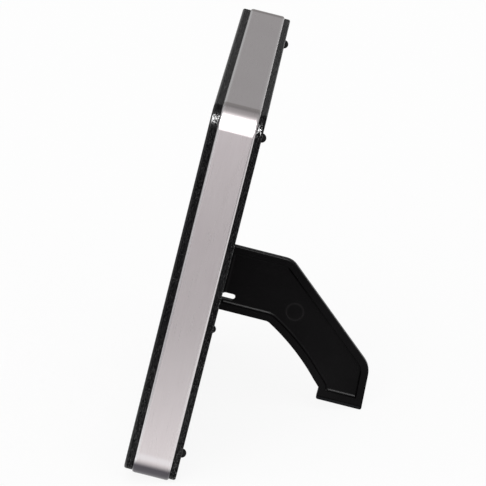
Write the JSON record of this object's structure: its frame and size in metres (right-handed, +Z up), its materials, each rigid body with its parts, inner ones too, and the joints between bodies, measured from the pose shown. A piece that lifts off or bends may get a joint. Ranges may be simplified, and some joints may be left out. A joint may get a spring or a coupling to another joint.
{
  "type": "digital photo frame",
  "caption": "Table-top digital photo frame: a flat screen in a black case with a brushed metal edge band, leaning back on a bent leg that folds sideways into the back.",
  "frame": {"origin": "centre of the bounding box at table level, standing on its leg", "axes": "+Z up, +Y towards the back and the leg, +X to the right as the screen is looked at"},
  "size_m": [0.224, 0.1122, 0.1804],
  "materials": {
    "bezel_black": "gloss",
    "band_metal": "brushed",
    "cover_black": "satin",
    "leg_black": "semi-gloss moulded",
    "soft_black": "matt",
    "pin_steel": "ground",
    "clear_pane": "clear",
    "display_glass": "dark",
    "guide_clear": "clear",
    "lamp_white": "matt",
    "sheet_steel": "zinc plated",
    "screw_steel": "plated",
    "screw_black": "blackened",
    "board_green": "satin",
    "chip_black": "matt",
    "cell_steel": "bright",
    "socket_steel": "plated",
    "jack_black": "matt",
    "key_black": "satin",
    "ribbon_white": "satin",
    "lead_grey": "matt"
  },
  "bodies": {
    "panel": {"front_bezel": "bezel_black", "trim_band": "band_metal", "rear_cover": "cover_black", "hinge_pin": "pin_steel", "hinge_washers": "pin_steel", "rear_bumpers": "soft_black", "screen_pane": "clear_pane", "lcd_cell": "display_glass", "light_guide": "guide_clear", "led_strip": "lamp_white", "lcd_tray": "sheet_steel", "panel_clips": "sheet_steel", "clip_screws": "screw_steel", "case_screws": "screw_black", "board_screws": "screw_steel", "main_board": "board_green", "board_parts": "chip_black", "clock_battery": "cell_steel", "card_socket": "socket_steel", "usb_socket": "socket_steel", "power_jack": "jack_black", "key_board": "board_green", "key_switches": "chip_black", "hanger_left": "sheet_steel", "hanger_right": "sheet_steel", "panel_cable": "ribbon_white", "key_cable": "lead_grey"},
    "leg": {"stand_leg": "leg_black", "foot_pad": "soft_black"},
    "power_button": {"button_power": "key_black"},
    "menu_button": {"button_menu": "key_black"},
    "left_button": {"button_left": "key_black"},
    "right_button": {"button_right": "key_black"},
    "enter_button": {"button_enter": "key_black"},
    "exit_button": {"button_exit": "key_black"}
  },
  "joints": [
    {"name": "leg_fold", "type": "hinge", "parent": "panel", "child": "leg", "pos_m": [0.0043, -0.01458, 0.0705], "axis": [0, -0.2816, -0.9595], "range_deg": [0, 90]},
    {"name": "power_press", "type": "slide", "parent": "panel", "child": "power_button", "axis": [0, -0.9595, 0.2816], "range_m": [0, 0.0005], "stiffness_N_per_m": 400, "springref_m": -0.0008},
    {"name": "menu_press", "type": "slide", "parent": "panel", "child": "menu_button", "axis": [0, -0.9595, 0.2816], "range_m": [0, 0.0005], "stiffness_N_per_m": 400, "springref_m": -0.0008},
    {"name": "left_press", "type": "slide", "parent": "panel", "child": "left_button", "axis": [0, -0.9595, 0.2816], "range_m": [0, 0.0005], "stiffness_N_per_m": 400, "springref_m": -0.0008},
    {"name": "right_press", "type": "slide", "parent": "panel", "child": "right_button", "axis": [0, -0.9595, 0.2816], "range_m": [0, 0.0005], "stiffness_N_per_m": 400, "springref_m": -0.0008},
    {"name": "enter_press", "type": "slide", "parent": "panel", "child": "enter_button", "axis": [0, -0.9595, 0.2816], "range_m": [0, 0.0005], "stiffness_N_per_m": 400, "springref_m": -0.0008},
    {"name": "exit_press", "type": "slide", "parent": "panel", "child": "exit_button", "axis": [0, -0.9595, 0.2816], "range_m": [0, 0.0005], "stiffness_N_per_m": 400, "springref_m": -0.0008}
  ]
}
